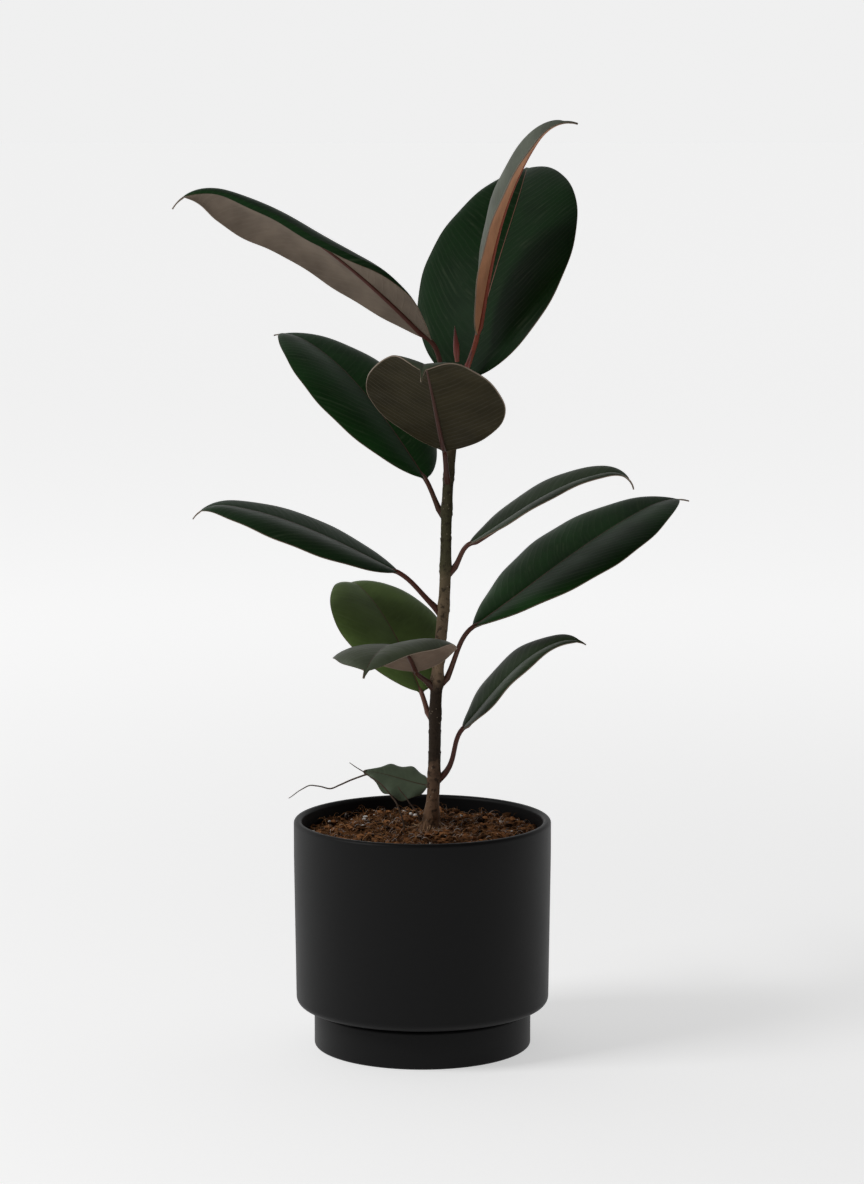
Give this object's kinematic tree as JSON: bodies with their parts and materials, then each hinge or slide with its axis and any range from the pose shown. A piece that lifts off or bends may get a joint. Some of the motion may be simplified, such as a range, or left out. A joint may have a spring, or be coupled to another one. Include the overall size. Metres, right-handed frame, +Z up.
{
  "type": "potted rubber plant",
  "caption": "Young rubber plant with broad dark leaves on one slim stem, growing in soil in a matte black cylinder pot that stands in its saucer.",
  "frame": {"origin": "on the pot's axis, at the underside of the saucer", "axes": "+Z up along the pot's axis; the plant is seen from -Y, with its longest leaf towards -X"},
  "size_m": [0.3406, 0.2875, 0.6097],
  "materials": {
    "matte_black_ceramic": "matte black, very fine grain",
    "potting_soil": "coarse coir and bark crumbs with a few white perlite grains",
    "stem_bark": "thin grey-brown bark with leaf scars, greener towards the tip",
    "leaf": "waxy dark green above, dull brown-green beneath, with a dark red midrib",
    "young_sheath": "smooth translucent red-brown",
    "rootlet_bark": "dry wiry brown"
  },
  "bodies": {
    "root": {"saucer": "matte_black_ceramic", "pot": "matte_black_ceramic", "soil": "potting_soil", "stem": "stem_bark", "leaf_01": "leaf", "leaf_02": "leaf", "leaf_03": "leaf", "leaf_04": "leaf", "leaf_05": "leaf", "leaf_06": "leaf", "leaf_07": "leaf", "leaf_08": "leaf", "leaf_09": "leaf", "leaf_10": "leaf", "leaf_11": "leaf", "leaf_12": "leaf", "bud_sheath": "young_sheath", "leaf_sheath": "young_sheath", "rootlet_1": "rootlet_bark", "rootlet_2": "rootlet_bark"}
  },
  "joints": []
}
